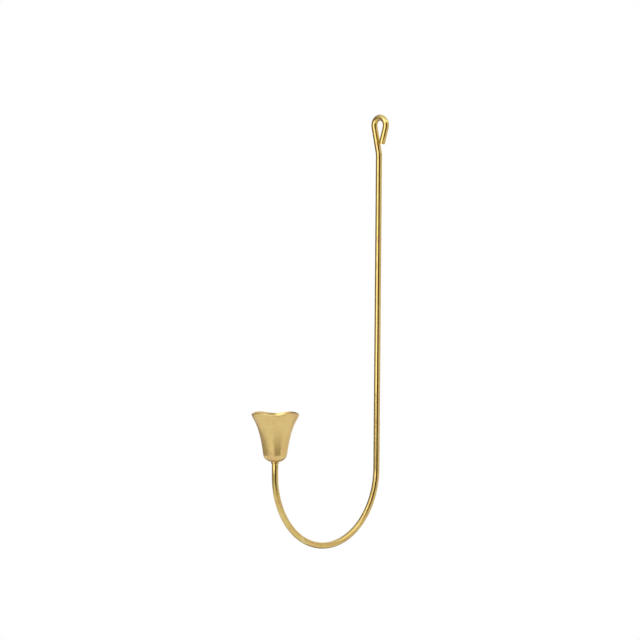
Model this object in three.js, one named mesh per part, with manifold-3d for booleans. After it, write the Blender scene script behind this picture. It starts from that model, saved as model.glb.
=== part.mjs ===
// Wall candle holder: one brass rod, bent into a nail eye, a long stem and a J, with a candle cup bolted to its end.
// Units are millimetres and +Z is up. The origin is the inside top of the eye, where it hangs on its nail.
// The stem hangs down along Z against the wall, and the J carries the cup forward, towards -Y.

import * as THREE from 'three';
import { mergeVertices } from 'three/addons/utils/BufferGeometryUtils.js';
import Module from 'manifold-3d';

const wasm = await Module();
wasm.setup();

// Rod stock
const ROD_DIAMETER = 6;
const ROD_END_CHAMFER = 0.35;

// Eye, a teardrop in the XZ plane, flat against the wall
const EYE_INNER_WIDTH = 9;
const EYE_FREE_LEG_LENGTH = 16.1;
const EYE_END_GAP = 0.3;
const EYE_LEAN = THREE.MathUtils.degToRad(2);
const STEM_OFFSET = 1.2;
const NECK_BEND_RADIUS = 17;

// Stem and J, in the YZ plane
const SEAT_TO_J = 336.7;
const J_RADIUS = 70.4;
const J_LEG_LENGTH = 11;

// Collar between the rod's end and the cup
const COLLAR_LIP = 0.7;
const COLLAR_HEIGHT = 2.2;
const COLLAR_EDGE = 0.5;

// Candle cup, drawn from sheet
const SHEET_THICKNESS = 1;
const CUP_HEIGHT = 45.1;
const CUP_RIM_RADIUS = 22.5;
const CUP_BOWL_RADIUS = 14.2;
const CUP_BOWL_ANGLE = THREE.MathUtils.degToRad(36);
const CUP_FOOT_FILLET = 7.2;
const CUP_WALL_TAPER = THREE.MathUtils.degToRad(7.7);
const CUP_RIM_FLARE = THREE.MathUtils.degToRad(14.4);
const CUP_TAPER_SHARE = 0.74;
const CUP_LIP_SHARE = 0.145;
const RIM_LOBES = 4;
const RIM_WAVE = 0.9;
const RIM_WAVE_DEPTH = 14;

// M4 hexagon-head bolt and its washer
const BOLT_DIAMETER = 4;
const BOLT_HEAD_WIDTH = 7;
const BOLT_HEAD_HEIGHT = 2.8;
const BOLT_HEAD_FLAT = 0.93;
const BOLT_CHAMFER_ANGLE = THREE.MathUtils.degToRad(30);
const BOLT_TIP_CHAMFER = 0.5;
const THREAD_ENGAGEMENT = 6;
const THREAD_RUNOUT = 1.5;
const DRILL_OVERRUN = 1;
const WASHER_DIAMETER = 9;
const WASHER_THICKNESS = 0.8;

// Clearances
const THREAD_CLEARANCE = 0.15;
const HOLE_CLEARANCE = 0.25;
const WASHER_CLEARANCE = 0.3;

// Facets
const ROD_SIDES = 24;
const CUP_SIDES = 56;
const BOLT_SIDES = 24;
const BOLT_HEAD_SIDES = 48;
const TIGHT_BEND_STEP = THREE.MathUtils.degToRad(8);
const WIDE_BEND_STEP = THREE.MathUtils.degToRad(5);
const BOWL_STEPS = 7;
const FILLET_STEPS = 4;
const WALL_STEPS = 12;
const LIP_STEPS = 4;

// Sizes that follow from the ones above
const rodRadius = ROD_DIAMETER / 2;
const holeRadius = BOLT_DIAMETER / 2 + HOLE_CLEARANCE;
const rodEndZ = -SEAT_TO_J + J_LEG_LENGTH;
const cupAxisY = -2 * J_RADIUS;
const cupFloorZ = rodEndZ + COLLAR_HEIGHT;
const washerZ = cupFloorZ + SHEET_THICKNESS;
const boltHeadZ = washerZ + WASHER_THICKNESS;
const boltShankLength = boltHeadZ - rodEndZ + THREAD_ENGAGEMENT;

const polishedBrass = { color: 0xc9a55c, roughness: 0.18, metalness: 1 };
const satinBrass = { color: 0xd5be78, roughness: 0.45, metalness: 1 };

// A rod that is fed straight and bent in arcs, one after the other, as a bending machine does it.
class BentRod {
  constructor(start, heading, side, radius) {
    this.point = start.clone();
    this.heading = heading.clone().normalize();
    this.side = side.clone().normalize();
    this.radius = radius;
    this.stations = [];
  }

  mark(inset = 0) {
    this.stations.push({
      point: this.point.clone(),
      side: this.side.clone(),
      up: new THREE.Vector3().crossVectors(this.heading, this.side),
      radius: this.radius - inset,
    });
    return this;
  }

  feed(length) {
    this.point.addScaledVector(this.heading, length);
    return this;
  }

  chamferedStart(size) {
    return this.mark(size).feed(size).mark();
  }

  chamferedEnd(size) {
    return this.feed(-size).mark().feed(size).mark(size);
  }

  bend(axis, angle, bendRadius, largestStep) {
    const steps = Math.ceil(angle / largestStep);
    const arm = new THREE.Vector3().crossVectors(this.heading, axis).multiplyScalar(bendRadius);
    const centre = this.point.clone().sub(arm);
    this.mark();
    for (let i = 0; i < steps; i += 1) {
      arm.applyAxisAngle(axis, angle / steps);
      this.heading.applyAxisAngle(axis, angle / steps);
      this.side.applyAxisAngle(axis, angle / steps);
      this.point.copy(centre).add(arm);
      this.mark();
    }
    return this;
  }

  geometry(sides) {
    const positions = [];
    const index = [];
    for (const station of this.stations) {
      for (let k = 0; k < sides; k += 1) {
        const angle = (2 * Math.PI * k) / sides;
        const corner = station.point.clone();
        corner.addScaledVector(station.side, station.radius * Math.cos(angle));
        corner.addScaledVector(station.up, station.radius * Math.sin(angle));
        positions.push(corner.x, corner.y, corner.z);
      }
    }
    const last = this.stations.length - 1;
    for (let ring = 0; ring < last; ring += 1) {
      for (let k = 0; k < sides; k += 1) {
        const here = ring * sides + k;
        const next = ring * sides + ((k + 1) % sides);
        index.push(here, next, next + sides, here, next + sides, here + sides);
      }
    }
    for (let k = 1; k < sides - 1; k += 1) {
      index.push(0, k + 1, k);
      index.push(last * sides, last * sides + k, last * sides + k + 1);
    }
    const geometry = new THREE.BufferGeometry();
    geometry.setAttribute('position', new THREE.Float32BufferAttribute(positions, 3));
    geometry.setIndex(index);
    return geometry;
  }
}

// Closed solid of revolution about +Z. The profile holds [radius, height] pairs, up the outside first.
function revolve(profile, sides) {
  const points = profile.map(([radius, height]) => new THREE.Vector2(radius, height));
  const closesOnAxis = profile[0][0] === 0 && profile[profile.length - 1][0] === 0;
  if (!closesOnAxis) {
    points.push(points[0].clone());
  }
  return new THREE.LatheGeometry(points, sides).rotateX(Math.PI / 2);
}

function toSolid(geometry) {
  const bare = geometry.clone();
  bare.deleteAttribute('normal');
  bare.deleteAttribute('uv');
  const merged = mergeVertices(bare);
  return new wasm.Manifold(new wasm.Mesh({
    numProp: 3,
    vertProperties: new Float32Array(merged.attributes.position.array),
    triVerts: new Uint32Array(merged.index.array),
  }));
}

function toGeometry(solid) {
  const mesh = solid.getMesh();
  const geometry = new THREE.BufferGeometry();
  geometry.setAttribute('position', new THREE.Float32BufferAttribute(mesh.vertProperties, 3));
  geometry.setIndex(new THREE.Uint32BufferAttribute(mesh.triVerts, 1));
  return geometry;
}

function node(name, geometry, finish, y = 0, z = 0) {
  geometry.computeVertexNormals();
  const mesh = new THREE.Mesh(geometry, new THREE.MeshStandardMaterial(finish));
  mesh.name = name;
  mesh.position.set(0, y, z);
  return mesh;
}

// The eye's two legs close in so that its free end stops EYE_END_GAP short of the other leg.
function eyeLegTilt() {
  const halfWidth = EYE_INNER_WIDTH / 2;
  const reach = Math.hypot(halfWidth, EYE_FREE_LEG_LENGTH);
  return Math.acos(EYE_END_GAP / 2 / reach) - Math.atan2(EYE_FREE_LEG_LENGTH, halfWidth);
}

function hookRod() {
  const tilt = eyeLegTilt();
  const freeTilt = tilt + EYE_LEAN;
  const stemTilt = tilt - EYE_LEAN;
  const eyeRadius = EYE_INNER_WIDTH / 2 + rodRadius;
  const eyeCentreZ = -EYE_INNER_WIDTH / 2;
  const neckRun = NECK_BEND_RADIUS * Math.tan(stemTilt / 2);
  const legToNeck = (eyeRadius * Math.cos(stemTilt) - STEM_OFFSET) / Math.sin(stemTilt);
  const neckZ = eyeCentreZ - eyeRadius * Math.sin(stemTilt) - legToNeck * Math.cos(stemTilt);

  const heading = new THREE.Vector3(Math.sin(freeTilt), 0, Math.cos(freeTilt));
  const start = new THREE.Vector3(Math.cos(freeTilt), 0, -Math.sin(freeTilt)).multiplyScalar(eyeRadius);
  start.z += eyeCentreZ;
  start.addScaledVector(heading, -EYE_FREE_LEG_LENGTH);
  const overTheTop = new THREE.Vector3(0, -1, 0);
  const backToPlumb = new THREE.Vector3(0, 1, 0);
  const forwardAndUp = new THREE.Vector3(-1, 0, 0);

  const rod = new BentRod(start, heading, new THREE.Vector3(0, 1, 0), rodRadius);
  rod.chamferedStart(ROD_END_CHAMFER);
  rod.feed(EYE_FREE_LEG_LENGTH - ROD_END_CHAMFER);
  rod.bend(overTheTop, Math.PI + 2 * tilt, eyeRadius, TIGHT_BEND_STEP);
  rod.feed(legToNeck - neckRun);
  rod.bend(backToPlumb, stemTilt, NECK_BEND_RADIUS, TIGHT_BEND_STEP);
  rod.feed(SEAT_TO_J + neckZ - neckRun);
  rod.bend(forwardAndUp, Math.PI, J_RADIUS, WIDE_BEND_STEP);
  rod.feed(J_LEG_LENGTH);
  rod.chamferedEnd(ROD_END_CHAMFER);

  const depth = THREAD_ENGAGEMENT + THREAD_RUNOUT;
  const tappedRadius = BOLT_DIAMETER / 2 + THREAD_CLEARANCE;
  const drill = revolve([
    [0, -depth],
    [tappedRadius, -depth],
    [tappedRadius, DRILL_OVERRUN],
    [0, DRILL_OVERRUN],
  ], BOLT_SIDES);
  drill.translate(-STEM_OFFSET, cupAxisY, rodEndZ);
  return toGeometry(toSolid(rod.geometry(ROD_SIDES)).subtract(toSolid(drill)));
}

function neckCollar() {
  const outer = rodRadius + COLLAR_LIP;
  return revolve([
    [holeRadius, 0],
    [outer - COLLAR_EDGE, 0],
    [outer, COLLAR_EDGE],
    [outer, COLLAR_HEIGHT - COLLAR_EDGE],
    [outer - COLLAR_EDGE, COLLAR_HEIGHT],
    [holeRadius, COLLAR_HEIGHT],
  ], BOLT_SIDES);
}

// Height of the bowl's centre: the flat pressed in the bowl is just wide enough for the washer.
function bowlCentreHeight() {
  const flatRadius = WASHER_DIAMETER / 2 + WASHER_CLEARANCE;
  return SHEET_THICKNESS + Math.sqrt((CUP_BOWL_RADIUS - SHEET_THICKNESS) ** 2 - flatRadius ** 2);
}

function arc(centreRadius, centreHeight, radius, from, to, steps) {
  const points = [];
  for (let i = 0; i <= steps; i += 1) {
    const angle = from + ((to - from) * i) / steps;
    points.push([centreRadius + radius * Math.sin(angle), centreHeight - radius * Math.cos(angle)]);
  }
  return points;
}

// One face of the sheet, from the floor's edge up to the rim, set in from the outer face by the inset.
function cupFace(inset) {
  const centreHeight = bowlCentreHeight();
  const bowl = CUP_BOWL_RADIUS - inset;
  const flatAngle = Math.acos((centreHeight - inset) / bowl);
  const filletCentre = CUP_BOWL_RADIUS - CUP_FOOT_FILLET;
  const filletRadius = filletCentre * Math.sin(CUP_BOWL_ANGLE);
  const filletHeight = centreHeight - filletCentre * Math.cos(CUP_BOWL_ANGLE);
  const wallAngle = Math.PI / 2 - CUP_WALL_TAPER;
  const footRadius = filletRadius + CUP_FOOT_FILLET * Math.sin(wallAngle);
  const footHeight = filletHeight - CUP_FOOT_FILLET * Math.cos(wallAngle);
  const rise = CUP_HEIGHT - footHeight;
  const taperRise = rise * CUP_TAPER_SHARE;
  const lipRise = rise * CUP_LIP_SHARE;
  const wall = new THREE.CubicBezierCurve(
    new THREE.Vector2(footRadius, footHeight),
    new THREE.Vector2(footRadius + taperRise * Math.tan(CUP_WALL_TAPER), footHeight + taperRise),
    new THREE.Vector2(CUP_RIM_RADIUS - lipRise * Math.tan(CUP_RIM_FLARE), CUP_HEIGHT - lipRise),
    new THREE.Vector2(CUP_RIM_RADIUS, CUP_HEIGHT),
  );

  const face = arc(0, centreHeight, bowl, flatAngle, CUP_BOWL_ANGLE, BOWL_STEPS);
  const fillet = CUP_FOOT_FILLET - inset;
  face.push(...arc(filletRadius, filletHeight, fillet, CUP_BOWL_ANGLE, wallAngle, FILLET_STEPS).slice(1));
  for (let i = 1; i <= WALL_STEPS; i += 1) {
    const point = wall.getPoint(i / WALL_STEPS);
    const along = wall.getTangent(i / WALL_STEPS);
    face.push([point.x - inset * along.y, point.y + inset * along.x]);
  }
  return face;
}

// Half round that closes the rim, from the outer face's last point over to the inner face's.
function cupLip([outerRadius, outerHeight], [innerRadius, innerHeight]) {
  const inward = new THREE.Vector2(innerRadius - outerRadius, innerHeight - outerHeight).multiplyScalar(0.5);
  const points = [];
  for (let i = 1; i < LIP_STEPS; i += 1) {
    const angle = (Math.PI * i) / LIP_STEPS;
    const across = 1 - Math.cos(angle);
    const over = Math.sin(angle);
    points.push([
      outerRadius + across * inward.x + over * inward.y,
      outerHeight + across * inward.y - over * inward.x,
    ]);
  }
  return points;
}

function candleCup() {
  const outside = cupFace(0);
  const inside = cupFace(SHEET_THICKNESS).reverse();
  const geometry = revolve([
    [holeRadius, 0],
    ...outside,
    ...cupLip(outside[outside.length - 1], inside[0]),
    ...inside,
    [holeRadius, SHEET_THICKNESS],
  ], CUP_SIDES);
  const position = geometry.attributes.position;
  for (let i = 0; i < position.count; i += 1) {
    const angle = Math.atan2(position.getY(i), position.getX(i));
    const share = (position.getZ(i) - CUP_HEIGHT + RIM_WAVE_DEPTH) / RIM_WAVE_DEPTH;
    const lift = RIM_WAVE * Math.cos(RIM_LOBES * angle) * THREE.MathUtils.smoothstep(share, 0, 1);
    position.setZ(i, position.getZ(i) + lift);
  }
  return geometry;
}

function cupWasher() {
  const outer = WASHER_DIAMETER / 2;
  return revolve([
    [holeRadius, 0],
    [outer, 0],
    [outer, WASHER_THICKNESS],
    [holeRadius, WASHER_THICKNESS],
  ], BOLT_SIDES);
}

function cupBolt() {
  const cornerRadius = BOLT_HEAD_WIDTH / Math.sqrt(3);
  const flatRadius = (BOLT_HEAD_WIDTH / 2) * BOLT_HEAD_FLAT;
  const chamferDrop = (cornerRadius - flatRadius) * Math.tan(BOLT_CHAMFER_ANGLE);
  const prism = new THREE.CylinderGeometry(cornerRadius, cornerRadius, BOLT_HEAD_HEIGHT, 6);
  prism.rotateX(Math.PI / 2).translate(0, 0, BOLT_HEAD_HEIGHT / 2);
  const turned = revolve([
    [0, 0],
    [cornerRadius, 0],
    [cornerRadius, BOLT_HEAD_HEIGHT - chamferDrop],
    [flatRadius, BOLT_HEAD_HEIGHT],
    [0, BOLT_HEAD_HEIGHT],
  ], BOLT_HEAD_SIDES);
  const radius = BOLT_DIAMETER / 2;
  const shank = revolve([
    [0, -boltShankLength],
    [radius - BOLT_TIP_CHAMFER, -boltShankLength],
    [radius, -boltShankLength + BOLT_TIP_CHAMFER],
    [radius, BOLT_HEAD_HEIGHT / 2],
    [0, BOLT_HEAD_HEIGHT / 2],
  ], BOLT_SIDES);
  return toGeometry(toSolid(prism).intersect(toSolid(turned)).add(toSolid(shank)));
}

const holder = new THREE.Group();
holder.name = 'wall_candle_holder';
holder.add(node('hook_rod', hookRod(), polishedBrass));

const cupStack = new THREE.Group();
cupStack.position.set(-STEM_OFFSET, cupAxisY, 0);
cupStack.add(node('neck_collar', neckCollar(), polishedBrass, 0, rodEndZ));
cupStack.add(node('candle_cup', candleCup(), satinBrass, 0, cupFloorZ));
cupStack.add(node('cup_washer', cupWasher(), polishedBrass, 0, washerZ));
cupStack.add(node('cup_bolt', cupBolt(), polishedBrass, 0, boltHeadZ));
holder.add(cupStack);

export default holder;
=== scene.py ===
"""Wall candle holder: a drawn brass rod bent into a nail eye, a long stem and a J, with a spun brass cup
bolted to its foot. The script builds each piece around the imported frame, gives it a brass finish made of
shader nodes, and sets up a plain studio and the camera. Lengths are metres and +Z is up.
"""

import collections
import math

import bmesh
import bpy
import numpy as np
from mathutils import Matrix, Quaternion, Vector


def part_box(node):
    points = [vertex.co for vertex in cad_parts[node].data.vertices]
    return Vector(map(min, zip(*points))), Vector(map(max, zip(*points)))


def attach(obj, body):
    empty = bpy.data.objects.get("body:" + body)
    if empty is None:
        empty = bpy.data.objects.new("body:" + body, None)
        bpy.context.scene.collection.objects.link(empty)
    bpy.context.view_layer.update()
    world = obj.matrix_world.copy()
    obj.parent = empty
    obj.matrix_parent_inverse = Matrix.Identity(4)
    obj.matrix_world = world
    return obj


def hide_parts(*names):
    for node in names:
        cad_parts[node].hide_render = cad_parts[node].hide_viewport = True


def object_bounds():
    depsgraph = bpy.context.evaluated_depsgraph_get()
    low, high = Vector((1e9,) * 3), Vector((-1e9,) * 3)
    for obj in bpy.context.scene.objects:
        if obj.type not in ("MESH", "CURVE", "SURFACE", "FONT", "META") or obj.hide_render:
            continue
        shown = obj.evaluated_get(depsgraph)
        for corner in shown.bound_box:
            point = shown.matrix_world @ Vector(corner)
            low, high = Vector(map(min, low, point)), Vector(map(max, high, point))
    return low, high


bl_info = {
    "name": "Wall candle holder",
    "version": (1, 0, 0),
    "blender": (4, 5, 0),
    "location": "3D View > Sidebar > Candle holder",
    "description": "Builds a brass wall candle holder, its finishes and a plain studio",
    "category": "Add Mesh",
}

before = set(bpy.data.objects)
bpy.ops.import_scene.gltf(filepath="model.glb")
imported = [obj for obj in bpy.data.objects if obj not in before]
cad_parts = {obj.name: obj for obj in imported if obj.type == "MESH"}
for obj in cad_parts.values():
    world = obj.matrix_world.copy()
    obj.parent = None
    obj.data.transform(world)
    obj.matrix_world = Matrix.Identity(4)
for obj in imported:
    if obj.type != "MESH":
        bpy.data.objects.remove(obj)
CAD_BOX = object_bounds()

# Places and main sizes that the frame gives
ROD_LOW, ROD_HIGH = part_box("hook_rod")
COLLAR_LOW, COLLAR_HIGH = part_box("neck_collar")
CUP_LOW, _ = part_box("candle_cup")
WASHER_LOW, WASHER_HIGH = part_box("cup_washer")
BOLT_LOW, BOLT_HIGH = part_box("cup_bolt")
CUP_AXIS = (COLLAR_LOW + COLLAR_HIGH) / 2
ROD_RADIUS = ROD_HIGH.y
J_RADIUS = -(ROD_LOW.y + ROD_RADIUS) / 2
SEAT_TO_J = -(ROD_LOW.z + ROD_RADIUS + J_RADIUS)
STAGE_Y = -J_RADIUS

MM = 0.001

# How finely the surfaces are cut
ROD_SIDES = 64
RING_SIDES = 96
CUP_SIDES = 192
BEND_STEP = math.radians(2.5)
STRAIGHT_STEP = 12 * MM
EDGE_STEPS = 5
BOWL_STEPS = 12
WALL_STEPS = 44
LIP_STEPS = 10
CARD_STEPS = 24
SHARP_ANGLE = math.radians(32)
MERGE_DISTANCE = 1e-7

# Curvature, in 1/m, where an edge starts to wear and where it is worn most
WORN_FROM = 700
WORN_MOST = 2600
# Least lengths that it is worked out with
LEAST_EDGE = 1e-9
LEAST_WIDTH = 1e-6

# Room round the washer on the cup's flat floor
WASHER_CLEARANCE = 0.3 * MM

# Unevenness of the cup's wall: each ripple's share, its waves round the cup, its start and its twist in 1/m
RIPPLES = ((0.6, 2, 0.7, 30), (0.4, 5, 2.1, -55))
# The unevenness starts from nothing above the foot, and grows with the height as a share of the cup's
UNEVEN_GAIN = 1.6
UNEVEN_START = 0.25

# Rings of thread, as shares of the pitch: from a crest's middle down to the root and to the crest's edge,
# and from where the next crest would be down to the plain shank
THREAD_FLANK = 0.45
THREAD_CREST = 0.08
THREAD_END = 0.3
# Bevels on the shank's end and on the head
SHANK_POINT = 0.15 * MM
HEAD_EDGE = 0.12 * MM

# Half the floor's width, and how far out its paper starts and ends to turn into the background
FLOOR_REACH = 40
FLOOR_FADE = (0.5, 1.6)

# Camera, found from the photograph: its direction from the object, and where it looks
CAMERA_AZIMUTH = math.radians(43.52)
CAMERA_ELEVATION = math.radians(1.73)
CAMERA_ROLL = math.radians(0.447)
CAMERA_DISTANCE = 3.0944
CAMERA_AIM = (-0.05823, -0.1927)
CAMERA_LENS = 180
SENSOR_WIDTH = 36


def length(name, description, default):
    return bpy.props.FloatProperty(
        name=name, description=description, default=default, min=0, precision=5,
        subtype="DISTANCE", unit="LENGTH",
    )


def angle(name, description, degrees):
    return bpy.props.FloatProperty(
        name=name, description=description, default=math.radians(degrees),
        subtype="ANGLE", unit="ROTATION",
    )


def share(name, description, default):
    return bpy.props.FloatProperty(
        name=name, description=description, default=default, min=0, max=1, subtype="FACTOR"
    )


def level(name, description, default):
    return bpy.props.FloatProperty(name=name, description=description, default=default, min=0)


def colour(name, description, default):
    return bpy.props.FloatVectorProperty(
        name=name, description=description, default=(*default, 1), size=4, min=0, max=1, subtype="COLOR"
    )


class RodSizes(bpy.types.PropertyGroup):
    """Sizes of the bent rod"""

    radius: length("Rod radius", "Half the thickness of the rod stock", ROD_RADIUS)
    end_round: length("End rounding", "How far the cut ends are rounded", 0.35 * MM)
    eye_width: length("Eye width", "Inside width of the eye at its round top", 9 * MM)
    eye_leg: length("Eye leg", "Straight length of the eye's free leg", 16.1 * MM)
    eye_gap: length("Eye gap", "Gap between the eye's free end and the other leg", 0.3 * MM)
    eye_lean: angle("Eye lean", "How far the eye leans to the side of its free leg", 2)
    stem_offset: length("Stem offset", "How far the stem stands beside the nail", -CUP_AXIS.x)
    neck_radius: length("Neck radius", "Bend radius between the eye and the stem", 17 * MM)
    seat_to_j: length("Stem drop", "Height from the nail down to the centre of the J", SEAT_TO_J)
    j_radius: length("J radius", "Bend radius of the J at the rod's centre line", J_RADIUS)
    bore_radius: length("Bore radius", "Radius of the bolt's hole in the rod's end", 2.15 * MM)
    bore_depth: length("Bore depth", "Depth of the bolt's hole in the rod's end", 7.5 * MM)


class CupSizes(bpy.types.PropertyGroup):
    """Sizes of the candle cup"""

    height: length("Cup height", "Height of the rim's middle level above the cup's floor", 45.1 * MM)
    rim_radius: length("Rim radius", "Radius of the outer face at the rim", 22.5 * MM)
    sheet: length("Sheet", "Thickness of the cup's wall", 1 * MM)
    lip: length("Lip", "Thickness that the wall thins to at the rim", 0.5 * MM)
    lip_depth: length("Lip depth", "How far below the rim the wall begins to thin", 5.5 * MM)
    bowl_radius: length("Bowl radius", "Radius of the round bottom", 14.2 * MM)
    bowl_angle: angle("Bowl angle", "How far the round bottom reaches up", 36)
    foot_fillet: length("Foot fillet", "Radius between the bottom and the wall", 7.2 * MM)
    wall_taper: angle("Wall taper", "Lean of the wall just above the foot", 7.7)
    rim_flare: angle("Rim flare", "Lean of the wall at the rim", 14.4)
    taper_share: share("Taper share", "How far up the lower lean pulls the wall", 0.74)
    lip_share: share("Lip share", "How far down the rim's flare pulls the wall", 0.145)
    lobes: bpy.props.IntProperty(
        name="Rim lobes", description="Number of waves round the rim", default=4, min=0
    )
    wave: length("Rim wave", "Height of the waves in the rim", 0.9 * MM)
    wave_depth: length("Wave depth", "How far below the rim the waves begin", 14 * MM)
    unevenness: length("Unevenness", "How far the hand-worked wall strays from round", 0.09 * MM)


class FixingSizes(bpy.types.PropertyGroup):
    """Sizes of the collar, the washer and the bolt"""

    hole_radius: length("Hole radius", "Radius of the holes that the bolt passes through", 2.25 * MM)
    collar_edge: length("Collar edge", "Rounding of the collar's edges", 0.5 * MM)
    washer_edge: length("Washer edge", "Rounding of the washer's edges", 0.12 * MM)
    bolt_radius: length("Bolt radius", "Radius of the bolt's shank", 2 * MM)
    head_width: length("Head width", "Width of the bolt's head across its flats", 7 * MM)
    head_height: length("Head height", "Height of the bolt's head", 2.8 * MM)
    head_flat: share("Head flat", "Radius of the head's flat top as a share of half its width", 0.93)
    head_chamfer: angle("Head chamfer", "Slope of the chamfer on the head's corners", 30)
    corner_round: length("Corner rounding", "Rounding of the head's corners", 0.3 * MM)
    thread_pitch: length("Thread pitch", "Distance between the threads on the shank", 0.7 * MM)
    thread_depth: length("Thread depth", "Depth of the threads on the shank", 0.35 * MM)


class BrassFinish(bpy.types.PropertyGroup):
    """Colours and polish of the brass"""

    rod_colour: colour("Rod", "Colour of the polished rod", (0.675, 0.505, 0.166))
    cup_colour: colour("Cup", "Colour of the satin cup", (0.745, 0.553, 0.219))
    fixing_colour: colour("Fixings", "Colour of the washer and the bolt", (0.62, 0.46, 0.17))
    copper_tint: colour("Copper tint", "Where the brass shows more copper", (0.70, 0.43, 0.22))
    pale_tint: colour("Pale tint", "Where the brass is paler", (0.74, 0.60, 0.28))
    tarnish_colour: colour("Tarnish", "Colour of the film in corners and smudges", (0.36, 0.25, 0.09))
    worn_colour: colour("Worn edges", "Colour of edges that are rubbed bright", (0.80, 0.66, 0.34))
    rod_roughness: share("Rod roughness", "Roughness of the polished rod", 0.14)
    cup_roughness: share("Cup roughness", "Roughness of the satin cup", 0.30)
    collar_roughness: share("Collar roughness", "Roughness of the turned collar", 0.20)
    fixing_roughness: share("Fixing roughness", "Roughness of the washer and the bolt", 0.30)


class StudioSettings(bpy.types.PropertyGroup):
    """The plain studio"""

    background: colour("Background", "Colour of the background", (1, 1, 1))
    floor_colour: colour("Floor", "Colour of the floor under the object", (0.92, 0.92, 0.92))
    floor_drop: length("Floor drop", "How far the floor lies below the object", 0.45)
    room_light: level("Room light", "Strength of the even light on the floor and the cards", 1)
    lamp_power: level("Softbox power", "Power of the softbox, in watts", 1.4)
    top_power: level("Top softbox power", "Power of the softbox above, in watts", 1.35)
    lamp_colour: colour("Softbox colour", "Colour of the softbox's light", (0.93, 0.96, 1.0))
    brown_card: colour("Brown card", "Colour of the card on the camera's side", (0.115, 0.08, 0.026))
    shade_card: colour("Shade card", "Colour of the strip under the brown card", (0.68, 0.62, 0.52))
    left_card: colour("Left card", "Colour of the card to the left", (0.43, 0.375, 0.35))
    left_high_card: colour("Left high card", "Colour of the card above the left card", (0.86, 0.78, 0.72))
    left_low_card: colour("Left low card", "Colour of the card below the left card", (0.34, 0.30, 0.265))
    back_card: colour("Back card", "Colour of the card behind and to the left", (0.19, 0.17, 0.16))
    back_low_card: colour("Back low card", "Colour of the card below the back card", (0.44, 0.39, 0.35))
    right_card: colour("Right card", "Colour of the card to the right", (0.84, 0.78, 0.75))
    upper_card: colour("Upper card", "Colour of the card above the back card", (0.50, 0.48, 0.46))
    stand_card: colour("Stand card", "Colour of the strip under the softbox", (0.54, 0.51, 0.47))
    table_card: colour("Table card", "Colour of the low card behind the object", (0.42, 0.40, 0.38))


# Distances between nodes in the editor
NODE_COLUMN = 260
NODE_ROW = 240


class Nodes:
    """Adds nodes to a tree. A value that is a socket is linked, and any other is set."""

    def __init__(self, tree):
        self.tree = tree

    def add(self, kind, inputs=(), **settings):
        made = self.tree.nodes.new(kind)
        for key, value in settings.items():
            setattr(made, key, value)
        for socket, value in dict(inputs).items():
            if isinstance(value, bpy.types.NodeSocket):
                self.tree.links.new(value, made.inputs[socket])
            else:
                made.inputs[socket].default_value = value
        return made

    def math(self, operation, a, b=0.0, c=0.0, clamp=False):
        inputs = {0: a, 1: b, 2: c}
        return self.add("ShaderNodeMath", inputs, operation=operation, use_clamp=clamp).outputs[0]

    def scaled(self, vector, scale):
        return self.add("ShaderNodeVectorMath", {0: vector, 1: scale}, operation="MULTIPLY").outputs[0]

    def noise(self, vector, scale, detail=2.0, roughness=0.5):
        inputs = {"Vector": vector, "Scale": scale, "Detail": detail, "Roughness": roughness}
        return self.add("ShaderNodeTexNoise", inputs).outputs["Fac"]

    def remap(self, value, low, high):
        inputs = {"Value": value, "From Min": low, "From Max": high}
        return self.add("ShaderNodeMapRange", inputs, interpolation_type="SMOOTHSTEP").outputs["Result"]

    def mix(self, factor, a, b):
        # The node has sockets for every type of data: its colours go in at 6 and 7, and come out at 2
        inputs = {"Factor": factor, 6: a, 7: b}
        return self.add("ShaderNodeMix", inputs, data_type="RGBA").outputs[2]

    def times(self, a, b):
        return self.math("MULTIPLY", a, b)

    def group(self, name, inputs):
        return self.add("ShaderNodeGroup", inputs, node_tree=shared(name)).outputs

    def finish(self, kind, inputs):
        """Adds the output node, and sets all nodes in columns by how far they are from it."""
        columns = {}

        def visit(node, column):
            if columns.get(node, -1) < column:
                columns[node] = column
                for socket in node.inputs:
                    for link in socket.links:
                        visit(link.from_node, column + 1)

        visit(self.add(kind, inputs), 0)
        rows = collections.Counter()
        for node, column in columns.items():
            node.location = (-NODE_COLUMN * column, -NODE_ROW * rows[column])
            rows[column] += 1


def shared_group(name, inputs, outputs):
    """A new node group with its sockets: its tree, a Nodes for it, and the values that it is given."""
    tree = bpy.data.node_groups.new(name, "ShaderNodeTree")
    for socket, (kind, default) in inputs.items():
        made = tree.interface.new_socket(socket, in_out="INPUT", socket_type=f"NodeSocket{kind}")
        if default is not None:
            made.default_value = default
    for socket, kind in outputs.items():
        tree.interface.new_socket(socket, in_out="OUTPUT", socket_type=f"NodeSocket{kind}")
    nodes = Nodes(tree)
    return tree, nodes, nodes.add("NodeGroupInput").outputs


# Film on the brass: its mottle is finer than the clouds by this factor, and it tints by this share
MOTTLE_FINENESS = 4.3
FILM_TINT = 0.55


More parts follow.
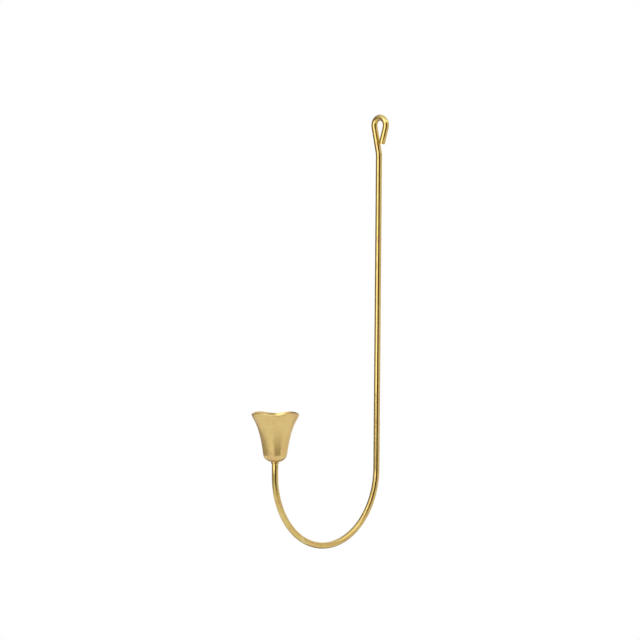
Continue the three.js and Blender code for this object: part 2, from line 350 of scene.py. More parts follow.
def brass_tone_group():
    """Slow changes of the alloy's tone: a copper and a pale side, and a thin film of tarnish."""
    tree, nodes, given = shared_group(
        "brass_tone",
        {
            "Vector": ("Vector", None),
            "Size": ("Float", 40.0),
            "Brass": ("Color", None),
            "Copper": ("Color", None),
            "Pale": ("Color", None),
            "Tarnish": ("Color", None),
            "Amount": ("Float", 0.3),
        },
        {"Colour": "Color", "Film": "Float"},
    )
    size, amount = given["Size"], given["Amount"]
    clouds = nodes.noise(given["Vector"], size, detail=3, roughness=0.55)
    copper = nodes.times(nodes.remap(clouds, low=0.50, high=0.72), amount)
    pale = nodes.times(nodes.remap(clouds, low=0.48, high=0.30), amount)
    finer = nodes.times(size, MOTTLE_FINENESS)
    mottle = nodes.noise(given["Vector"], finer, detail=5, roughness=0.62)
    film = nodes.remap(mottle, low=0.52, high=0.78)
    tint = nodes.times(nodes.times(film, amount), FILM_TINT)
    toned = nodes.mix(copper, given["Brass"], given["Copper"])
    toned = nodes.mix(pale, toned, given["Pale"])
    filmed = nodes.mix(tint, toned, given["Tarnish"])
    nodes.finish("NodeGroupOutput", {"Colour": filmed, "Film": film})
    return tree


# Coarse lines among the fine ones: their noise scale beside the fine ones' 1, and how far a groove cuts in
COARSE_SIZE = 0.23
GROOVE_CUT = 0.6


def fine_lines_group():
    """Fine marks of drawing or turning. The vector runs slowly along the lines and fast across them."""
    tree, nodes, given = shared_group(
        "fine_lines", {"Vector": ("Vector", None)}, {"Height": "Float", "Groove": "Float"}
    )
    fine = nodes.noise(given["Vector"], 1.0, detail=3, roughness=0.6)
    coarse = nodes.noise(given["Vector"], COARSE_SIZE, detail=2, roughness=0.5)
    groove = nodes.remap(coarse, low=0.55, high=0.70)
    cut = nodes.times(groove, GROOVE_CUT)
    height = nodes.math("SUBTRACT", nodes.math("ADD", fine, coarse), cut)
    nodes.finish("NodeGroupOutput", {"Height": height, "Groove": groove})
    return tree


# Noise scales of the other marks beside the smudges', and how far the cells behind the scratches are bent
CELL_SIZE = 2.2
CELL_BEND_SIZE = 0.6
CELL_BEND = 0.03
SPARSE_SIZE = 1.7
PIT_SIZE = 14


def handling_marks_group():
    """What hands leave: soft smudges, a few hair scratches and tiny pits."""
    tree, nodes, given = shared_group(
        "handling_marks",
        {"Vector": ("Vector", None), "Size": ("Float", 60.0)},
        {"Smudge": "Float", "Scratch": "Float", "Pit": "Float"},
    )
    vector, size = given["Vector"], given["Size"]

    def sized(factor):
        return nodes.times(size, factor)

    smudge = nodes.remap(nodes.noise(vector, size, detail=4, roughness=0.6), low=0.50, high=0.70)
    warp = nodes.add("ShaderNodeTexNoise", {"Vector": vector, "Scale": sized(CELL_BEND_SIZE)})
    bent = nodes.add(
        "ShaderNodeVectorMath", {0: warp.outputs["Color"], 1: [CELL_BEND] * 3, 2: vector},
        operation="MULTIPLY_ADD",
    ).outputs[0]
    cells = nodes.add(
        "ShaderNodeTexVoronoi", {"Vector": bent, "Scale": sized(CELL_SIZE)}, feature="DISTANCE_TO_EDGE"
    ).outputs["Distance"]
    line = nodes.remap(cells, low=0.014, high=0.0)
    sparse = nodes.remap(nodes.noise(vector, sized(SPARSE_SIZE)), low=0.56, high=0.66)
    pits = nodes.add("ShaderNodeTexVoronoi", {"Vector": vector, "Scale": sized(PIT_SIZE)})
    pit = nodes.times(nodes.remap(pits.outputs["Distance"], low=0.16, high=0.05), sparse)
    scratch = nodes.times(line, sparse)
    nodes.finish("NodeGroupOutput", {"Smudge": smudge, "Scratch": scratch, "Pit": pit})
    return tree


def edge_wear_group():
    """Edges rubbed bright, broken up by noise. Worn is the piece's own measure of how sharp an edge is."""
    tree, nodes, given = shared_group(
        "edge_wear",
        {
            "Worn": ("Float", 0.0),
            "Vector": ("Vector", None),
            "Size": ("Float", 300.0),
            "Amount": ("Float", 0.7),
        },
        {"Mask": "Float"},
    )
    breaks = nodes.noise(given["Vector"], given["Size"], detail=3, roughness=0.6)
    broken = nodes.remap(breaks, low=0.30, high=0.60)
    mask = nodes.times(nodes.times(given["Worn"], broken), given["Amount"])
    nodes.finish("NodeGroupOutput", {"Mask": mask})
    return tree


SHARED_GROUPS = {
    "brass_tone": brass_tone_group,
    "fine_lines": fine_lines_group,
    "handling_marks": handling_marks_group,
    "edge_wear": edge_wear_group,
}


def shared(name):
    """The node group of that name, built when it is first needed."""
    return bpy.data.node_groups.get(name) or SHARED_GROUPS[name]()


def cleared(kind, name):
    """The material or world of that name, new or with its old nodes cleared, and a Nodes for it."""
    made = kind.get(name) or kind.new(name)
    made.use_nodes = True
    made.node_tree.nodes.clear()
    return made, Nodes(made.node_tree)


def brass_material(name, finish):
    """One of the brasses, with the colour and the roughness that the settings give it."""
    colour_setting, roughness_setting, place = BRASSES[name]
    column = list(BRASSES).index(name)
    look = {key: values[column] for key, values in LOOKS.items()}
    base = getattr(finish, colour_setting)
    made, nodes = cleared(bpy.data.materials, name)
    made.diffuse_color = base
    vector, lines_vector = place(nodes, look)
    tone = nodes.group(
        "brass_tone",
        {
            "Vector": vector,
            "Size": look["cloud_size"],
            "Brass": base,
            "Copper": finish.copper_tint,
            "Pale": finish.pale_tint,
            "Tarnish": finish.tarnish_colour,
            "Amount": look["cloud_amount"],
        },
    )
    lines = nodes.group("fine_lines", {"Vector": lines_vector})
    marks = nodes.group("handling_marks", {"Vector": vector, "Size": look["mark_size"]})
    worn = nodes.add("ShaderNodeAttribute", attribute_name="worn").outputs["Fac"]
    wear = nodes.group(
        "edge_wear", {"Worn": worn, "Vector": vector, "Size": WEAR_SIZE, "Amount": WEAR_AMOUNT}
    )

    colour = tone["Colour"]
    for amount, strength, over in (
        (marks["Smudge"], look["smudge_tone"], finish.tarnish_colour),
        (lines["Groove"], look["groove_tone"], finish.tarnish_colour),
        (marks["Scratch"], SCRATCH_TONE, finish.worn_colour),
    ):
        colour = nodes.mix(nodes.times(amount, strength), colour, over)
    colour = nodes.mix(wear["Mask"], colour, finish.worn_colour)

    rough = getattr(finish, roughness_setting)
    for amount, strength in (
        (marks["Smudge"], look["smudge_rough"]),
        (tone["Film"], look["film_rough"]),
        (lines["Groove"], look["groove_rough"]),
        (marks["Scratch"], SCRATCH_ROUGH),
    ):
        rough = nodes.math("MULTIPLY_ADD", amount, strength, rough)
    rough = nodes.math("MULTIPLY_ADD", wear["Mask"], -look["wear_polish"], rough, clamp=True)

    def bump(height, depth, below=None):
        inputs = {"Height": height, "Strength": 1.0, "Distance": depth}
        if below:
            inputs["Normal"] = below
        return nodes.add("ShaderNodeBump", inputs).outputs[0]

    swell = nodes.noise(vector, look["swell_size"], detail=1.5, roughness=0.4)
    grain = nodes.noise(vector, look["grain_size"], detail=3, roughness=0.6)
    marked = nodes.times(nodes.math("ADD", marks["Scratch"], marks["Pit"]), look["mark_share"])
    cut = nodes.math("SUBTRACT", lines["Height"], marked)
    form = bump(swell, look["swell_depth"])
    skin = bump(grain, look["grain_depth"], form)
    surface = nodes.add(
        "ShaderNodeBsdfPrincipled",
        {
            "Base Color": colour,
            "Metallic": 1.0,
            "Roughness": rough,
            "Normal": bump(cut, look["line_depth"], skin),
        },
    )
    nodes.finish("ShaderNodeOutputMaterial", {"Surface": surface.outputs[0]})
    return made


def along_the_stock(nodes, look):
    """Coordinates of the straight rod before it was bent, so that the drawing lines follow every bend."""
    vector = nodes.add("ShaderNodeAttribute", attribute_name="stock").outputs["Vector"]
    across, along = look["line_across"], look["line_along"]
    return vector, nodes.scaled(vector, (across, across, along))


def round_the_axis(nodes, look):
    """Coordinates from the piece's own foot, with lines that run round its axis."""
    vector = nodes.add("ShaderNodeTexCoord").outputs["Object"]
    height = nodes.add("ShaderNodeSeparateXYZ", {"Vector": vector}).outputs["Z"]
    flat = nodes.scaled(vector, (1, 1, 0))
    radius = nodes.add("ShaderNodeVectorMath", {0: flat}, operation="LENGTH").outputs["Value"]
    unit = nodes.add("ShaderNodeVectorMath", {0: flat}, operation="NORMALIZE").outputs[0]
    round_it = nodes.scaled(unit, [look["line_along"]] * 3)
    turn = nodes.add("ShaderNodeSeparateXYZ", {"Vector": round_it}).outputs
    across = nodes.times(nodes.math("ADD", radius, height), look["line_across"])
    lines = nodes.add("ShaderNodeCombineXYZ", {"X": turn["X"], "Y": turn["Y"], "Z": across}).outputs[0]
    return vector, lines


# Each brass: its colour and roughness settings, and how its lines run
BRASSES = {
    "drawn_brass": ("rod_colour", "rod_roughness", along_the_stock),
    "spun_brass": ("cup_colour", "cup_roughness", round_the_axis),
    "turned_brass": ("rod_colour", "collar_roughness", round_the_axis),
    "machined_brass": ("fixing_colour", "fixing_roughness", round_the_axis),
}
# What differs between the brasses, in their order. Sizes and line_across are noise scales in 1/m, and so is
# the drawn brass's line_along, where the others' is for a circle of radius 1. Depths are in metres. A tone
# or a rough is how far that mark changes the colour or the roughness.
LOOKS = {
    "cloud_size": (55.0, 55.0, 160.0, 190.0),
    "cloud_amount": (0.75, 0.55, 0.35, 0.55),
    "film_rough": (0.12, 0.05, 0.06, 0.10),
    "mark_size": (120.0, 70.0, 220.0, 260.0),
    "mark_share": (0.5, 1.0, 0.6, 0.6),
    "smudge_tone": (0.16, 0.08, 0.08, 0.25),
    "smudge_rough": (0.14, -0.06, 0.06, 0.08),
    "groove_tone": (0.30, 0.06, 0.22, 0.25),
    "groove_rough": (0.10, 0.04, 0.05, 0.06),
    "wear_polish": (0.04, 0.12, 0.06, 0.10),
    "swell_size": (75.0, 95.0, 240.0, 260.0),
    "swell_depth": (0.03 * MM, 0.16 * MM, 0.006 * MM, 0.004 * MM),
    "grain_size": (1500.0, 2600.0, 2400.0, 2800.0),
    "grain_depth": (0.003 * MM, 0.006 * MM, 0.001 * MM, 0.002 * MM),
    "line_depth": (0.016 * MM, 0.0035 * MM, 0.006 * MM, 0.008 * MM),
    "line_across": (4200.0, 3600.0, 7000.0, 5500.0),
    "line_along": (40.0, 2.2, 1.6, 1.4),
}
# What is the same in every brass
SCRATCH_TONE = 0.35
SCRATCH_ROUGH = 0.08
WEAR_SIZE = 420.0
WEAR_AMOUNT = 0.75


class BentRod:
    """A rod that is fed straight and bent in arcs, one after the other, as a bending machine does it."""

    def __init__(self, start, heading, side, radius):
        self.point = start.copy()
        self.heading = heading.normalized()
        self.side = side.normalized()
        self.radius = radius
        self.run = 0.0
        self.stations = []

    def mark(self, inset=0.0, back=0.0):
        """Cuts a ring here, smaller by the inset and set back along the rod."""
        point = self.point - self.heading * back
        up = self.heading.cross(self.side)
        self.stations.append((point, self.side.copy(), up, self.radius - inset, self.run - back))

    def feed(self, distance):
        """Feeds the rod straight, with rings on the way. The last ring is left to what follows."""
        steps = max(1, round(distance / STRAIGHT_STEP))
        for step in range(steps):
            if step:
                self.mark()
            self.point += self.heading * (distance / steps)
            self.run += distance / steps

    def bend(self, axis, turn, radius):
        """Bends the rod about an axis, in an arc of that radius at its centre line."""
        steps = math.ceil(turn / BEND_STEP)
        step = Quaternion(axis, turn / steps)
        arm = self.heading.cross(axis) * radius
        centre = self.point - arm
        self.mark()
        for _ in range(steps):
            arm.rotate(step)
            self.heading.rotate(step)
            self.side.rotate(step)
            self.point = centre + arm
            self.run += radius * turn / steps
            self.mark()

    def surface(self, sides):
        """Corners, faces, and each corner's place on the straight stock."""
        corners, stock = [], []
        for point, side, up, radius, run in self.stations:
            for k in range(sides):
                turn = 2 * math.pi * k / sides
                across = Vector((radius * math.cos(turn), radius * math.sin(turn)))
                corners.append(point + side * across.x + up * across.y)
                stock.append((across.x, across.y, run))
        return corners, ring_faces(len(self.stations), sides), stock


def ring_faces(rings, sides, closed=False):
    """Quads between rings of corners, one ring after the other."""
    faces = []
    for ring in range(rings if closed else rings - 1):
        low, high = ring * sides, (ring + 1) % rings * sides
        for k in range(sides):
            after = (k + 1) % sides
            faces.append((low + k, low + after, high + after, high + k))
    return faces


def eye_leg_tilt(sizes):
    """How far each leg of the eye leans in, so that the free end stops just short of the other leg."""
    half_width = sizes.eye_width / 2
    reach = math.hypot(half_width, sizes.eye_leg)
    return math.acos(sizes.eye_gap / 2 / reach) - math.atan2(sizes.eye_leg, half_width)


def rounded_end(rod, size, at_start):
    """Rings that round the cut end of the rod, from its closed face to its full radius or back."""
    turns = [math.pi / 2 * step / EDGE_STEPS for step in range(EDGE_STEPS + 1)]
    if not at_start:
        turns.reverse()
    for turn in turns:
        inset = size * (1 - math.sin(turn))
        back = size * (1 - math.cos(turn))
        rod.mark(inset, -back if at_start else back)


def hook_rod_surface(sizes):
    """The whole rod, from the free end of its eye down the stem and round the J to the cup."""
    tilt = eye_leg_tilt(sizes)
    free_tilt, stem_tilt = tilt + sizes.eye_lean, tilt - sizes.eye_lean
    if stem_tilt <= 0:
        raise ValueError("The eye leans too far for its leg to meet the stem: make its lean or gap smaller")
    eye_radius = sizes.eye_width / 2 + sizes.radius
    eye_centre = Vector((0, 0, -sizes.eye_width / 2))
    neck_run = sizes.neck_radius * math.tan(stem_tilt / 2)
    leg_to_neck = (eye_radius * math.cos(stem_tilt) - sizes.stem_offset) / math.sin(stem_tilt)
    neck_z = eye_centre.z - eye_radius * math.sin(stem_tilt) - leg_to_neck * math.cos(stem_tilt)
    if leg_to_neck <= neck_run:
        raise ValueError("The neck's bend is too wide for the eye's leg: make its radius smaller")

    heading = Vector((math.sin(free_tilt), 0, math.cos(free_tilt)))
    start = eye_centre + Vector((math.cos(free_tilt), 0, -math.sin(free_tilt))) * eye_radius
    rod = BentRod(start - heading * sizes.eye_leg, heading, Vector((0, 1, 0)), sizes.radius)
    rod.mark(sizes.radius)
    rounded_end(rod, sizes.end_round, True)
    rod.feed(sizes.eye_leg)
    rod.bend(Vector((0, -1, 0)), math.pi + 2 * tilt, eye_radius)
    rod.feed(leg_to_neck - neck_run)
    rod.bend(Vector((0, 1, 0)), stem_tilt, sizes.neck_radius)
    rod.feed(sizes.seat_to_j + neck_z - neck_run)
    rod.bend(Vector((-1, 0, 0)), math.pi, sizes.j_radius)
    rod.feed(COLLAR_LOW.z + sizes.seat_to_j)
    rounded_end(rod, sizes.end_round, False)
    rod.mark(sizes.radius - sizes.bore_radius)
    rod.mark(sizes.radius - sizes.bore_radius, sizes.bore_depth)
    rod.mark(sizes.radius, sizes.bore_depth)
    return rod.surface(ROD_SIDES)


def arc(centre, radius, start, end, steps):
    """Points on an arc. Angles count from straight down towards the outside."""
    turns = [start + (end - start) * step / steps for step in range(steps + 1)]
    return [centre + radius * Vector((math.sin(turn), -math.cos(turn))) for turn in turns]


def rounded(outline, size):
    """A closed outline of straight sides with each of its corners rounded."""
    points = []
    for index, corner in enumerate(outline):
        before = (outline[index - 1] - corner).normalized()
        after = (outline[(index + 1) % len(outline)] - corner).normalized()
        for step in range(EDGE_STEPS + 1):
            part = step / EDGE_STEPS
            # A quadratic curve with the corner as its handle stands in for the small round
            points.append(corner + before * size * (1 - part) ** 2 + after * size * part**2)
    return points


def cup_face(sizes, washer_room, inset):
    """One face of the sheet, from the floor's edge up to the rim, set in from the outer face."""
    centre = Vector((0, sizes.sheet + math.sqrt((sizes.bowl_radius - sizes.sheet) ** 2 - washer_room**2)))
    bowl = sizes.bowl_radius - inset
    flat_turn = math.acos((centre.y - inset) / bowl)
    to_fillet = sizes.bowl_radius - sizes.foot_fillet
    fillet_centre = centre + to_fillet * Vector((math.sin(sizes.bowl_angle), -math.cos(sizes.bowl_angle)))
    wall_turn = math.pi / 2 - sizes.wall_taper
    foot = arc(fillet_centre, sizes.foot_fillet, wall_turn, wall_turn, 1)[0]
    rise = sizes.height - foot.y
    taper = rise * sizes.taper_share
    lip = rise * sizes.lip_share
    handles = (
        foot,
        foot + taper * Vector((math.tan(sizes.wall_taper), 1)),
        Vector((sizes.rim_radius, sizes.height)) - lip * Vector((math.tan(sizes.rim_flare), 1)),
        Vector((sizes.rim_radius, sizes.height)),
    )
    face = arc(centre, bowl, flat_turn, sizes.bowl_angle, BOWL_STEPS)
    face += arc(fillet_centre, sizes.foot_fillet - inset, sizes.bowl_angle, wall_turn, BOWL_STEPS)[1:]
    for step in range(1, WALL_STEPS + 1):
        point, along = bezier(handles, step / WALL_STEPS)
        thinned = max(0, 1 + (point.y - sizes.height) / sizes.lip_depth) ** 2
        wall = inset * (1 - thinned * (1 - sizes.lip / sizes.sheet))
        face.append(point + wall * Vector((-along.y, along.x)))
    return face


def bezier(handles, part):
    """Point and unit direction on a cubic curve."""
    rest = 1 - part
    weights = (rest**3, 3 * rest**2 * part, 3 * rest * part**2, part**3)
    slopes = (-(rest**2), rest**2 - 2 * rest * part, 2 * rest * part - part**2, part**2)
    point = sum((handle * weight for handle, weight in zip(handles, weights)), Vector((0, 0)))
    along = sum((handle * slope for handle, slope in zip(handles, slopes)), Vector((0, 0)))
    return point, along.normalized()


def rim_round(outer, inner):
    """Half round from the outer face's last point over to the inner face's, without either."""
    inward = (inner - outer) / 2
    over = Vector((inward.y, -inward.x))
    turns = [math.pi * step / LIP_STEPS for step in range(1, LIP_STEPS)]
    return [outer + inward * (1 - math.cos(turn)) + over * math.sin(turn) for turn in turns]


def smooth_share(value):
    """0 below 0, 1 above 1, and a smooth rise between them."""
    value = min(max(value, 0.0), 1.0)
    return value * value * (3 - 2 * value)


def waviness(turn, z):
    """How far the hand-worked wall strays from round at a place on it, between -1 and 1."""
    return sum(part * math.cos(waves * turn + start + twist * z) for part, waves, start, twist in RIPPLES)


def candle_cup_surface(sizes, hole_radius):
    """The spun cup, a closed skin with its rim waved and its wall a little uneven."""
    washer_room = (WASHER_HIGH.x - WASHER_LOW.x) / 2 + WASHER_CLEARANCE
    outside = cup_face(sizes, washer_room, 0)
    inside = cup_face(sizes, washer_room, sizes.sheet)
    inside.reverse()
    hole = [Vector((hole_radius, 0)), Vector((hole_radius, sizes.sheet))]
    profile = [hole[0], *outside, *rim_round(outside[-1], inside[0]), *inside, hole[1]]
    corners, faces = turned(profile, CUP_SIDES)
    for corner in corners:
        turn = math.atan2(corner.y, corner.x)
        lift = smooth_share(1 + (corner.z - sizes.height) / sizes.wave_depth)
        freedom = smooth_share(corner.z / sizes.height * UNEVEN_GAIN - UNEVEN_START)
        stretch = 1 + sizes.unevenness * freedom * waviness(turn, corner.z) / sizes.rim_radius
        corner.x *= stretch
        corner.y *= stretch
        corner.z += sizes.wave * math.cos(sizes.lobes * turn) * lift
    return corners, faces


def turned(profile, sides, closed=True):
    """Corners and faces of a profile turned about the Z axis."""
    corners = []
    for point in profile:
        for k in range(sides):
            turn = 2 * math.pi * k / sides
            corners.append(Vector((point.x * math.cos(turn), point.x * math.sin(turn), point.y)))
    return corners, ring_faces(len(profile), sides, closed)


def ring_surface(inner, outer, height, edge):
    """A flat ring with rounded edges."""
    outline = [Vector((inner, 0)), Vector((outer, 0)), Vector((outer, height)), Vector((inner, height))]
    return turned(rounded(outline, edge), RING_SIDES)


def hexagon(sizes):
    """Points round a hexagon with rounded corners, its flats square to X and Y as in the frame."""
    half = sizes.head_width / 2
    centre = (half - sizes.corner_round) / math.cos(math.pi / 6)
    points = []
    for corner in range(6):
        middle = corner * math.pi / 3 + math.pi / 6
        for step in range(EDGE_STEPS + 1):
            turn = middle - math.pi / 6 + math.pi / 3 * step / EDGE_STEPS
            points.append(
                Vector((
                    centre * math.cos(middle) + sizes.corner_round * math.cos(turn),
                    centre * math.sin(middle) + sizes.corner_round * math.sin(turn),
                ))
            )
    return points


def bolt_surface(sizes, shank_length):
    """Hexagon head with a turned chamfer, and a shank with rings of thread."""
    outline = hexagon(sizes)
    sides = len(outline)
    flat = sizes.head_width / 2 * sizes.head_flat
    slope = math.tan(sizes.head_chamfer)
    pitch = sizes.thread_pitch
    root, crest = sizes.bolt_radius - sizes.thread_depth, sizes.bolt_radius

    def ring_at(radius, z):
        return [Vector((*(point.normalized() * radius), z)) for point in outline]

    rings = [ring_at(0, -shank_length), ring_at(root - SHANK_POINT, -shank_length)]
    z = -shank_length + pitch / 2
    while z < -pitch:
        rings.append(ring_at(root, z - pitch * THREAD_FLANK))
        rings.append(ring_at(crest, z - pitch * THREAD_CREST))
        rings.append(ring_at(crest, z + pitch * THREAD_CREST))
        z += pitch
    rings.append(ring_at(crest, z - pitch * THREAD_END))
    rings.append(ring_at(crest, 0))
    rings.append([Vector((*(point * (1 - HEAD_EDGE / point.length)), 0)) for point in outline])
    rings.append([Vector((*point, HEAD_EDGE)) for point in outline])
    chamfer = [sizes.head_height - max(0, point.length - flat) * slope for point in outline]
    rings.append([Vector((*point, height)) for point, height in zip(outline, chamfer)])
    rings.append(ring_at(flat, sizes.head_height))
    rings.append(ring_at(flat - HEAD_EDGE, sizes.head_height))
    rings.append(ring_at(0, sizes.head_height))
    corners = [corner for ring in rings for corner in ring]
    return corners, ring_faces(len(rings), sides)


def worn_edges(mesh_bm):
    """How far each corner is rubbed, from 0 to 1, by how sharply the surface turns outward there."""
    values = []
    for corner in mesh_bm.verts:
        sharpest = 0.0
        for edge in corner.link_edges:
            if len(edge.link_faces) == 2:
                area = sum(face.calc_area() for face in edge.link_faces)
                across = max(area / max(edge.calc_length(), LEAST_EDGE), LEAST_WIDTH)
                # From the middle of one face to the middle of the other is half of their widths together
                sharpest = max(sharpest, edge.calc_face_angle_signed(0.0) / across * 2)
        values.append(smooth_share((sharpest - WORN_FROM) / (WORN_MOST - WORN_FROM)))
    return values


def placed(name, data):
    """A new object in the scene. It takes the place of an older one of its name, in all its collections."""
    homes = [bpy.context.scene.collection]
    old = bpy.data.objects.get(name)
    if old:
        homes = old.users_collection
        bpy.data.objects.remove(old)
    made = bpy.data.objects.new(name, data)
    for home in homes:
        home.objects.link(made)
    return made


def make_piece(name, surface, material, node, foot=(0, 0, 0)):
    """Makes a piece that stands for a node of the frame, with its own origin at its foot."""
    corners, faces, *stock = surface
    mesh = bpy.data.meshes.new(name)
    mesh.from_pydata(corners, [], faces)
    if stock:
        places = mesh.attributes.new("stock", "FLOAT_VECTOR", "POINT")
        places.data.foreach_set("vector", np.array(stock[0], np.float32).ravel())
    shape = bmesh.new()
    shape.from_mesh(mesh)
    bmesh.ops.remove_doubles(shape, verts=shape.verts, dist=MERGE_DISTANCE)
    shape.normal_update()
    for face in shape.faces:
        face.smooth = True
    for edge in shape.edges:
        edge.smooth = edge.calc_face_angle(0.0) < SHARP_ANGLE
    worn = worn_edges(shape)
    shape.to_mesh(mesh)
    shape.free()
    mesh.attributes.new("worn", "FLOAT", "POINT").data.foreach_set("value", np.array(worn, np.float32))
    mesh.materials.append(material)
    mesh.validate()
    piece = placed(name, mesh)
    piece.location = foot
    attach(piece, "root")
    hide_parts(node)
    return piece


def on_axis(low):
    """A place on the cup's axis at the level of a node's lowest corner."""
    return (CUP_AXIS.x, CUP_AXIS.y, low.z)


class BuildHookRod(bpy.types.Operator):
    """Builds the rod with its eye, stem and J"""

    bl_idname = "candle_holder.hook_rod"
    bl_label = "Hook rod"

    def execute(self, context):
        scene = context.scene
        surface = hook_rod_surface(scene.holder_rod)
        brass = brass_material("drawn_brass", scene.holder_brass)
        make_piece("bent_rod", surface, brass, "hook_rod")
        return {"FINISHED"}


class BuildCollar(bpy.types.Operator):
    """Builds the turned collar between the rod and the cup"""

    bl_idname = "candle_holder.collar"
    bl_label = "Neck collar"

    def execute(self, context):
        scene = context.scene
        sizes = scene.holder_fixings
        outer = (COLLAR_HIGH.x - COLLAR_LOW.x) / 2
        height = COLLAR_HIGH.z - COLLAR_LOW.z
        surface = ring_surface(sizes.hole_radius, outer, height, sizes.collar_edge)
        brass = brass_material("turned_brass", scene.holder_brass)
        make_piece("turned_collar", surface, brass, "neck_collar", on_axis(COLLAR_LOW))
        return {"FINISHED"}


class BuildCup(bpy.types.Operator):
    """Builds the spun candle cup"""

    bl_idname = "candle_holder.cup"
    bl_label = "Candle cup"

    def execute(self, context):
        scene = context.scene
        surface = candle_cup_surface(scene.holder_cup, scene.holder_fixings.hole_radius)
        brass = brass_material("spun_brass", scene.holder_brass)
        make_piece("spun_cup", surface, brass, "candle_cup", on_axis(CUP_LOW))
        return {"FINISHED"}


class BuildFixings(bpy.types.Operator):
    """Builds the washer and the bolt that hold the cup"""

    bl_idname = "candle_holder.fixings"
    bl_label = "Washer and bolt"

    def execute(self, context):
        scene = context.scene
        sizes = scene.holder_fixings
        brass = brass_material("machined_brass", scene.holder_brass)
        outer = (WASHER_HIGH.x - WASHER_LOW.x) / 2
        height = WASHER_HIGH.z - WASHER_LOW.z
        washer = ring_surface(sizes.hole_radius, outer, height, sizes.washer_edge)
        make_piece("flat_washer", washer, brass, "cup_washer", on_axis(WASHER_LOW))
        head_z = BOLT_HIGH.z - sizes.head_height
        bolt = bolt_surface(sizes, head_z - BOLT_LOW.z)
        foot = (CUP_AXIS.x, CUP_AXIS.y, head_z)
        make_piece("hexagon_bolt", bolt, brass, "cup_bolt", foot)
        return {"FINISHED"}


def seen_directly(nodes):
    """1 for camera, glossy and transmission rays, which show the background, and 0 for the others."""
    path = nodes.add("ShaderNodeLightPath").outputs
    seen = nodes.math("MAXIMUM", path["Is Camera Ray"], path["Is Glossy Ray"])
    return nodes.math("MAXIMUM", seen, path["Is Transmission Ray"])


def stage_object(name, corners, faces, material):
    """A piece of the studio from its corners and faces."""
    mesh = bpy.data.meshes.new(name)
    mesh.from_pydata(corners, [], faces)
    mesh.materials.append(material)
    made = placed(name, mesh)
    return made


def outwards(turn, rise):
    """Unit direction out from the object, turned from its front to its right and raised off the level."""
    return Vector((math.sin(turn) * math.cos(rise), -math.cos(turn) * math.cos(rise), math.sin(rise)))


def card_material(name, card_colour):
    """Plain paper in the card's colour."""
    made, nodes = cleared(bpy.data.materials, name)
    paper = nodes.add("ShaderNodeBsdfDiffuse", {"Color": card_colour})
    nodes.finish("ShaderNodeOutputMaterial", {"Surface": paper.outputs[0]})
    return made


def curved_card(name, start, end, section, card_colour):
    """A card bent round the object, which only the brass sees. Its ends are angles from the camera, to the
    picture's right, and its section is a row of (distance, height) points.
    """
    corners = []
    for distance, height in section:
        for step in range(CARD_STEPS + 1):
            turn = CAMERA_AZIMUTH + math.radians(start + (end - start) * step / CARD_STEPS)
            corners.append((distance * math.sin(turn), STAGE_Y - distance * math.cos(turn), height))
    faces = []
    for row in range(len(section) - 1):
        for k in range(CARD_STEPS):
            here = row * (CARD_STEPS + 1) + k
            above = here + CARD_STEPS + 1
            faces.append((here, here + 1, above + 1, above))
    card = stage_object(name, corners, faces, card_material(name, card_colour))
    card.visible_camera = False
    card.visible_diffuse = False
    card.visible_shadow = False
    return card


# What the brass reflects: each card's ends in degrees, and its section
CARDS = {
    "brown_card": (-11, 50, ((1.0, -0.632), (1.0, 0.9))),
    "shade_card": (-11, 50, ((1.0, -0.84), (1.0, -0.632))),
    "left_card": (-98, -62, ((1.0, -0.42), (1.0, 0.12))),
    "left_low_card": (-100, -64, ((1.0, -0.68), (1.0, -0.42))),
    "left_high_card": (-98, -62, ((1.0, 0.12), (1.0, 0.8))),
    "back_card": (-180, -98, ((1.0, -0.42), (1.0, 0.5))),
    "back_low_card": (-180, -100, ((1.0, -0.66), (1.0, -0.42))),
    "upper_card": (-180, -98, ((1.0, 0.5), (1.0, 1.3))),
    "right_card": (62, 160, ((1.0, -0.74), (1.0, 0.6))),
    "stand_card": (-76, -30, ((0.5, -0.45), (0.5, -0.355))),
    "table_card": (125, 230, ((0.12, -0.75), (1.0, -0.75))),
}


# Each softbox's power setting, its width and height, its turn from the camera and its rise in degrees, its
# distance, the level that it faces, and the pieces that it lights, or none where it lights them all
SOFTBOXES = {
    "softbox": ("lamp_power", (0.466, 0.95), -39, 0, 0.5, 0.125, ()),
    "top_softbox": ("top_power", (1.36, 0.30), 34, 60, 0.85, -0.37, ("bent_rod",)),
}


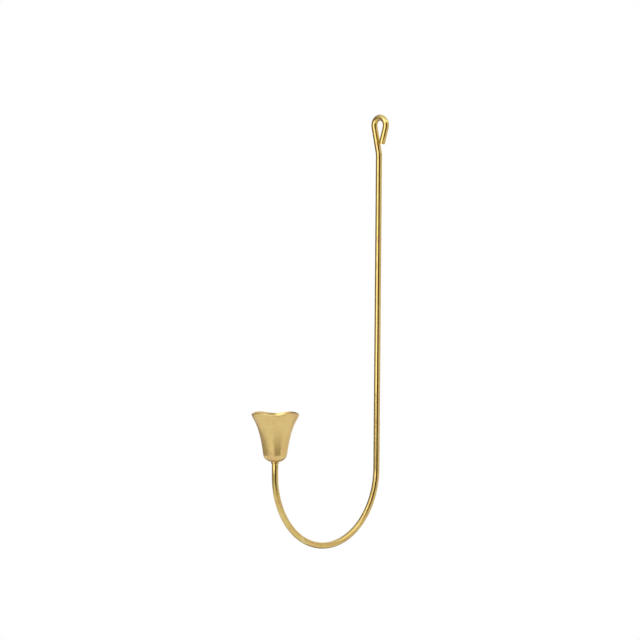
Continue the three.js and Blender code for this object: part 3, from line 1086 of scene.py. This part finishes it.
class BuildStudio(bpy.types.Operator):
    """Sets up the floor, the cards that the brass reflects, the softboxes and the even room light"""

    bl_idname = "candle_holder.studio"
    bl_label = "Studio"

    def execute(self, context):
        studio = context.scene.holder_studio
        self.world(context.scene, studio)
        self.floor(studio)
        for name, (start, end, section) in CARDS.items():
            curved_card(name, start, end, section, getattr(studio, name))
        for name, (power, *shape, pieces) in SOFTBOXES.items():
            softbox = self.softbox(name, getattr(studio, power), studio.lamp_colour, *shape)
            if pieces:
                self.light_alone(softbox, pieces)
        return {"FINISHED"}

    @staticmethod
    def world(scene, studio):
        """Even room light, and the background's own colour wherever it is seen directly."""
        world, nodes = cleared(bpy.data.worlds, "studio_room")
        room = nodes.add("ShaderNodeBackground", {"Color": (1, 1, 1, 1), "Strength": studio.room_light})
        backdrop = nodes.add("ShaderNodeBackground", {"Color": studio.background, "Strength": 1.0})
        shown = nodes.add(
            "ShaderNodeMixShader", {0: seen_directly(nodes), 1: room.outputs[0], 2: backdrop.outputs[0]}
        )
        nodes.finish("ShaderNodeOutputWorld", {"Surface": shown.outputs[0]})
        scene.world = world

    @staticmethod
    def floor(studio):
        """Pale paper that keeps the object's shadow near it and turns into the background further out."""
        made, nodes = cleared(bpy.data.materials, "floor_paper")
        place = nodes.add("ShaderNodeTexCoord").outputs["Object"]
        away = nodes.add("ShaderNodeVectorMath", {0: place}, operation="LENGTH").outputs["Value"]
        far = nodes.remap(away, *FLOOR_FADE)
        paper = nodes.add("ShaderNodeBsdfDiffuse", {"Color": studio.floor_colour})
        backdrop = nodes.add("ShaderNodeEmission", {"Color": studio.background, "Strength": 1.0})
        factor = nodes.times(seen_directly(nodes), far)
        shown = nodes.add("ShaderNodeMixShader", {0: factor, 1: paper.outputs[0], 2: backdrop.outputs[0]})
        nodes.finish("ShaderNodeOutputMaterial", {"Surface": shown.outputs[0]})
        low, high = -FLOOR_REACH, FLOOR_REACH
        corners = [(low, low, 0), (high, low, 0), (high, high, 0), (low, high, 0)]
        sheet = stage_object("floor", corners, [(0, 1, 2, 3)], made)
        sheet.location = (0, STAGE_Y, CAD_BOX[0].z - studio.floor_drop)

    @staticmethod
    def softbox(name, power, light_colour, size, turn, rise, distance, height):
        """A softbox that faces a level on the plumb line through the nail, from a turn and a rise."""
        data = bpy.data.lights.new(name, "AREA")
        data.shape = "RECTANGLE"
        data.size, data.size_y = size
        data.energy = power
        data.color = light_colour[:3]
        lamp = placed(name, data)
        direction = outwards(CAMERA_AZIMUTH + math.radians(turn), math.radians(rise))
        lamp.location = direction * distance + Vector((0, 0, height))
        lamp.rotation_euler = direction.to_track_quat("Z", "Y").to_euler()
        return lamp

    @staticmethod
    def light_alone(lamp, pieces):
        """Keeps the lamp's light off everything but the named pieces."""
        lit = bpy.data.collections.new(f"lit_by_{lamp.name}")
        for piece in pieces:
            lit.objects.link(bpy.data.objects[piece])
        lamp.light_linking.receiver_collection = lit


class PlaceCamera(bpy.types.Operator):
    """Places the camera where the photograph was taken from"""

    bl_idname = "candle_holder.camera"
    bl_label = "Camera"

    def execute(self, context):
        right = Vector((math.cos(CAMERA_AZIMUTH), math.sin(CAMERA_AZIMUTH), 0))
        back = outwards(CAMERA_AZIMUTH, CAMERA_ELEVATION)
        roll = Quaternion(back, CAMERA_ROLL)
        up = back.cross(right)
        right.rotate(roll)
        up.rotate(roll)
        aim = right * CAMERA_AIM[0] + up * CAMERA_AIM[1]
        data = bpy.data.cameras.new("camera")
        data.lens = CAMERA_LENS
        data.sensor_width = SENSOR_WIDTH
        place = Matrix((right, up, back)).transposed().to_4x4()
        place.translation = aim + back * CAMERA_DISTANCE
        camera = placed("camera", data)
        camera.matrix_world = place
        context.scene.camera = camera
        return {"FINISHED"}


class HolderPanel(bpy.types.Panel):
    """Sizes, finishes and build buttons"""

    bl_idname = "VIEW3D_PT_candle_holder"
    bl_label = "Wall candle holder"
    bl_space_type = "VIEW_3D"
    bl_region_type = "UI"
    bl_category = "Candle holder"

    def draw(self, context):
        scene = context.scene
        for title, group, operators in PANEL_ROWS:
            box = self.layout.box()
            box.label(text=title)
            settings = getattr(scene, group)
            for name in settings.__annotations__:
                box.prop(settings, name)
            for operator in operators:
                box.operator(operator)


PANEL_ROWS = (
    ("Rod", "holder_rod", ("candle_holder.hook_rod",)),
    ("Cup", "holder_cup", ("candle_holder.cup",)),
    ("Fixings", "holder_fixings", ("candle_holder.collar", "candle_holder.fixings")),
    ("Brass", "holder_brass", ()),
    ("Studio", "holder_studio", ("candle_holder.studio", "candle_holder.camera")),
)
SETTINGS = {
    "holder_rod": RodSizes,
    "holder_cup": CupSizes,
    "holder_fixings": FixingSizes,
    "holder_brass": BrassFinish,
    "holder_studio": StudioSettings,
}
OPERATORS = (BuildHookRod, BuildCollar, BuildCup, BuildFixings, BuildStudio, PlaceCamera)


def register():
    for kind in (*SETTINGS.values(), *OPERATORS, HolderPanel):
        bpy.utils.register_class(kind)
    for name, kind in SETTINGS.items():
        setattr(bpy.types.Scene, name, bpy.props.PointerProperty(type=kind))


def unregister():
    for name in SETTINGS:
        delattr(bpy.types.Scene, name)
    for kind in (HolderPanel, *reversed(OPERATORS), *reversed(SETTINGS.values())):
        bpy.utils.unregister_class(kind)


def main():
    register()
    bpy.context.scene.view_settings.view_transform = "Standard"
    bpy.ops.candle_holder.hook_rod()
    bpy.ops.candle_holder.collar()
    bpy.ops.candle_holder.cup()
    bpy.ops.candle_holder.fixings()
    bpy.ops.candle_holder.studio()
    bpy.ops.candle_holder.camera()


if __name__ == "__main__":
    main()
